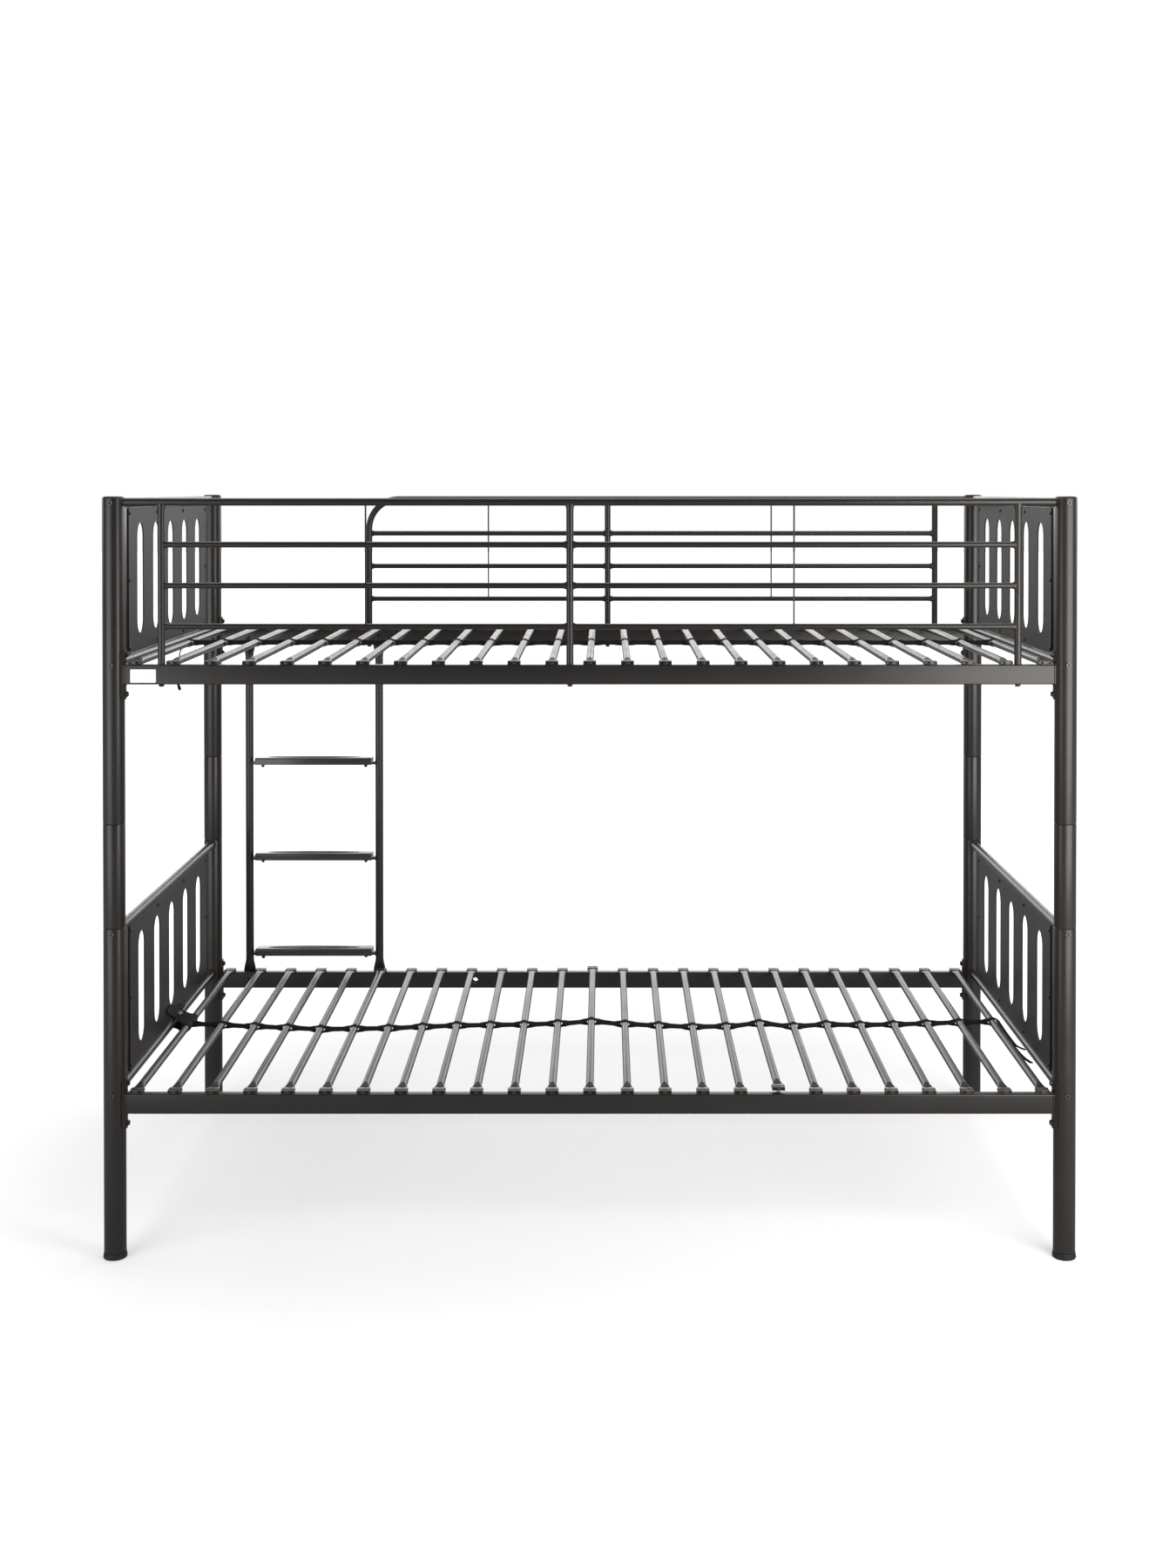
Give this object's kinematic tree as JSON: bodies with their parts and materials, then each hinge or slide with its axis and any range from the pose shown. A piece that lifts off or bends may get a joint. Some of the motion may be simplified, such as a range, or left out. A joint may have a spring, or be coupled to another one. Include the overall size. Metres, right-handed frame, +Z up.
{
  "type": "bunk bed",
  "caption": "Metal bunk bed with slotted end panels, guard rails, a rear ladder and two slatted berths for single mattresses.",
  "frame": {"origin": "on the floor, at the middle of the bed's overall length and depth", "axes": "+X along the bed, +Y from the guarded front to the ladder at the back, +Z up"},
  "size_m": [1.9778, 0.9798, 1.547],
  "materials": {
    "powder_coated_steel": "satin dark graphite powder coat",
    "black_plastic": "matt black moulded plastic",
    "blackened_bolt": "blackened steel",
    "black_elastic": "woven elastic webbing"
  },
  "bodies": {
    "bed_frame": {"foot_left_front": "black_plastic", "foot_left_rear": "black_plastic", "foot_right_front": "black_plastic", "foot_right_rear": "black_plastic", "front_guard": "powder_coated_steel", "ladder_frame": "powder_coated_steel", "ladder_tread_1": "black_plastic", "ladder_tread_2": "black_plastic", "ladder_tread_3": "black_plastic", "lower_end_frame_left": "powder_coated_steel", "lower_end_frame_right": "powder_coated_steel", "lower_end_panel_left": "powder_coated_steel", "lower_end_panel_right": "powder_coated_steel", "lower_left_front_high_bolt": "blackened_bolt", "lower_left_front_low_bolt": "blackened_bolt", "lower_left_rear_high_bolt": "blackened_bolt", "lower_left_rear_low_bolt": "blackened_bolt", "lower_post_left_front": "powder_coated_steel", "lower_post_left_rear": "powder_coated_steel", "lower_post_right_front": "powder_coated_steel", "lower_post_right_rear": "powder_coated_steel", "lower_right_front_high_bolt": "blackened_bolt", "lower_right_front_low_bolt": "blackened_bolt", "lower_right_rear_high_bolt": "blackened_bolt", "lower_right_rear_low_bolt": "blackened_bolt", "lower_side_rail_front": "powder_coated_steel", "lower_side_rail_rear": "powder_coated_steel", "lower_strap_anchor": "black_elastic", "post_extension_left_front": "powder_coated_steel", "post_extension_left_rear": "powder_coated_steel", "post_extension_right_front": "powder_coated_steel", "post_extension_right_rear": "powder_coated_steel", "rear_guard": "powder_coated_steel", "top_cap_left_front": "black_plastic", "top_cap_left_rear": "black_plastic", "top_cap_right_front": "black_plastic", "top_cap_right_rear": "black_plastic", "upper_end_frame_left": "powder_coated_steel", "upper_end_frame_right": "powder_coated_steel", "upper_end_panel_left": "powder_coated_steel", "upper_end_panel_right": "powder_coated_steel", "upper_left_front_high_bolt": "blackened_bolt", "upper_left_front_low_bolt": "blackened_bolt", "upper_left_rear_high_bolt": "blackened_bolt", "upper_left_rear_low_bolt": "blackened_bolt", "upper_post_left_front": "powder_coated_steel", "upper_post_left_rear": "powder_coated_steel", "upper_post_right_front": "powder_coated_steel", "upper_post_right_rear": "powder_coated_steel", "upper_right_front_high_bolt": "blackened_bolt", "upper_right_front_low_bolt": "blackened_bolt", "upper_right_rear_high_bolt": "blackened_bolt", "upper_right_rear_low_bolt": "blackened_bolt", "upper_side_rail_front": "powder_coated_steel", "upper_side_rail_rear": "powder_coated_steel"},
    "lower_slat_mat": {"lower_slat_mat": "powder_coated_steel"},
    "upper_slat_mat": {"upper_slat_mat": "powder_coated_steel", "upper_strap_tail": "black_elastic"}
  },
  "joints": [
    {"name": "lower_mat_lift", "type": "slide", "parent": "bed_frame", "child": "lower_slat_mat", "axis": [0, 0, 1], "range_m": [0, 0.015]},
    {"name": "upper_mat_lift", "type": "slide", "parent": "bed_frame", "child": "upper_slat_mat", "axis": [0, 0, 1], "range_m": [0, 0.015]}
  ]
}
